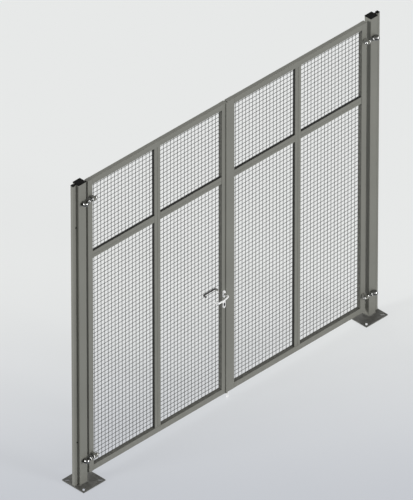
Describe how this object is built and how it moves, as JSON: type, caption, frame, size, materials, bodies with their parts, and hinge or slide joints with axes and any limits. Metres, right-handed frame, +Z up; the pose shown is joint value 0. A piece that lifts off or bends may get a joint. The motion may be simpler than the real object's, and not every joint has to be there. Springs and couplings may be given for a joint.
{
  "type": "double-leaf mesh gate with posts",
  "caption": "Double-leaf gate of framed welded mesh between two posts on base plates, with adjustable hinges, a lever lock and a drop bolt.",
  "frame": {"origin": "centre of the left base plate's underside", "axes": "+Z up, +X along the closed gate from the left post to the right post, -Y to the front"},
  "size_m": [2.61, 0.185, 2.211],
  "materials": {
    "frame_paint": "satin",
    "mesh_paint": "satin",
    "dark_paint": "satin",
    "black_plastic": "matte",
    "zinc": "satin",
    "satin_steel": "satin"
  },
  "bodies": {
    "posts": {"left_base_plate": "dark_paint", "left_post": "frame_paint", "left_post_neck": "frame_paint", "left_post_bead": "frame_paint", "left_post_cap": "black_plastic", "left_low_hinge_bracket": "zinc", "left_high_hinge_bracket": "zinc", "right_base_plate": "dark_paint", "right_post": "frame_paint", "right_post_neck": "frame_paint", "right_post_bead": "frame_paint", "right_post_cap": "black_plastic", "right_low_hinge_bracket": "zinc", "right_high_hinge_bracket": "zinc"},
    "left_leaf": {"left_hinge_stile": "frame_paint", "left_lock_stile": "frame_paint", "left_top_rail": "frame_paint", "left_bottom_rail": "frame_paint", "left_mullion": "frame_paint", "left_transom": "frame_paint", "left_mesh_upright_wires": "mesh_paint", "left_mesh_cross_wires": "mesh_paint", "left_low_eyebolt": "zinc", "left_high_eyebolt": "zinc", "left_low_hinge_lug": "frame_paint", "left_high_hinge_lug": "frame_paint", "meeting_strip": "frame_paint", "front_handle_rose": "satin_steel", "back_handle_rose": "satin_steel", "front_key_rose": "satin_steel", "back_key_rose": "satin_steel"},
    "right_leaf": {"right_hinge_stile": "frame_paint", "right_lock_stile": "frame_paint", "right_top_rail": "frame_paint", "right_bottom_rail": "frame_paint", "right_mullion": "frame_paint", "right_transom": "frame_paint", "right_mesh_upright_wires": "mesh_paint", "right_mesh_cross_wires": "mesh_paint", "right_low_eyebolt": "zinc", "right_high_eyebolt": "zinc", "right_low_hinge_lug": "frame_paint", "right_high_hinge_lug": "frame_paint", "low_bolt_guide": "frame_paint", "high_bolt_guide": "frame_paint"},
    "lever_handle": {"front_lever": "satin_steel", "back_lever": "satin_steel", "lever_spindle": "satin_steel"},
    "drop_bolt": {"drop_bolt": "zinc"}
  },
  "joints": [
    {"name": "left_leaf_swing", "type": "hinge", "parent": "posts", "child": "left_leaf", "pos_m": [-0.0215, -0.0485, 0.187], "axis": [0, 0, -1], "range_deg": [0, 180]},
    {"name": "right_leaf_swing", "type": "hinge", "parent": "posts", "child": "right_leaf", "pos_m": [2.4465, -0.0485, 0.187], "axis": [0, 0, 1], "range_deg": [0, 180]},
    {"name": "lever_turn", "type": "hinge", "parent": "left_leaf", "child": "lever_handle", "pos_m": [1.1745, -0.017, 0.8], "axis": [0, -1, 0], "range_deg": [0, 40], "stiffness_Nm_per_rad": 1, "springref_deg": -20.05},
    {"name": "drop_bolt_lift", "type": "slide", "parent": "right_leaf", "child": "drop_bolt", "axis": [0, 0, 1], "range_m": [0, 0.045]}
  ]
}
